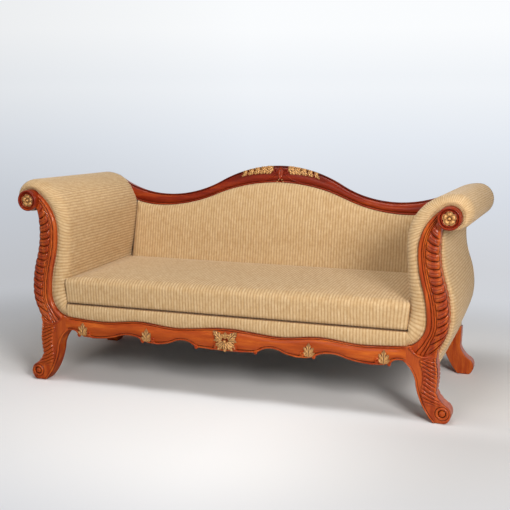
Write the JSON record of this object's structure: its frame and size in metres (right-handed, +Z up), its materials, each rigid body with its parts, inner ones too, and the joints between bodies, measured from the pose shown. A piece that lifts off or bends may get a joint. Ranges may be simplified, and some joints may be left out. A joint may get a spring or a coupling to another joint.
{
  "type": "two-seater sofa",
  "caption": "Carved show-wood sofa with rolled lyre arms, a camel-back crest, scroll feet and a loose bench cushion that pulls out forwards.",
  "frame": {"origin": "on the floor, below the middle of the sofa's bounding box", "axes": "+X along the seat to the sitter's left, +Y to the back, +Z up"},
  "size_m": [1.898, 0.7844, 0.8772],
  "materials": {
    "show_wood": "gloss",
    "gilt": "satin",
    "frame_wood": "matte",
    "upholstery": "matte",
    "cushion_filling": "matte",
    "webbing": "matte",
    "dust_cloth": "matte",
    "glide": "matte",
    "screw_steel": "satin"
  },
  "bodies": {
    "frame": {"apron_cartouche": "gilt", "apron_leaves": "gilt", "arm_facing_left": "show_wood", "arm_facing_right": "show_wood", "arm_rear_board_left": "frame_wood", "arm_rear_board_right": "frame_wood", "arm_rosette_left": "gilt", "arm_rosette_right": "gilt", "arm_roundel_left": "show_wood", "arm_roundel_right": "show_wood", "arm_tack_rail_left": "frame_wood", "arm_tack_rail_right": "frame_wood", "arm_top_rail_left": "frame_wood", "arm_top_rail_right": "frame_wood", "back_lower_rail": "frame_wood", "back_post_left": "frame_wood", "back_post_right": "frame_wood", "back_upright": "frame_wood", "back_webbing": "webbing", "corner_block_screws": "screw_steel", "corner_blocks": "frame_wood", "crest_rail": "show_wood", "crest_spray_left": "gilt", "crest_spray_right": "gilt", "crest_volutes": "show_wood", "dust_cover": "dust_cloth", "foot_glides": "glide", "front_apron": "show_wood", "front_leg_left": "show_wood", "front_leg_right": "show_wood", "front_seat_rail": "frame_wood", "inside_arm_left": "upholstery", "inside_arm_right": "upholstery", "inside_back": "upholstery", "outside_arm_left": "upholstery", "outside_arm_right": "upholstery", "outside_back": "upholstery", "rail_dowels": "frame_wood", "rear_leg_left": "show_wood", "rear_leg_right": "show_wood", "rear_seat_rail": "frame_wood", "seat_cross_webbing": "webbing", "seat_deck": "upholstery", "seat_stretcher": "frame_wood", "seat_webbing": "webbing", "side_seat_rail_left": "frame_wood", "side_seat_rail_right": "frame_wood"},
    "cushion": {"seat_cushion_core": "cushion_filling", "seat_cushion_cover": "upholstery"}
  },
  "joints": [
    {"name": "cushion_slide", "type": "slide", "parent": "frame", "child": "cushion", "axis": [0, -1, 0], "range_m": [0, 0.6]}
  ]
}
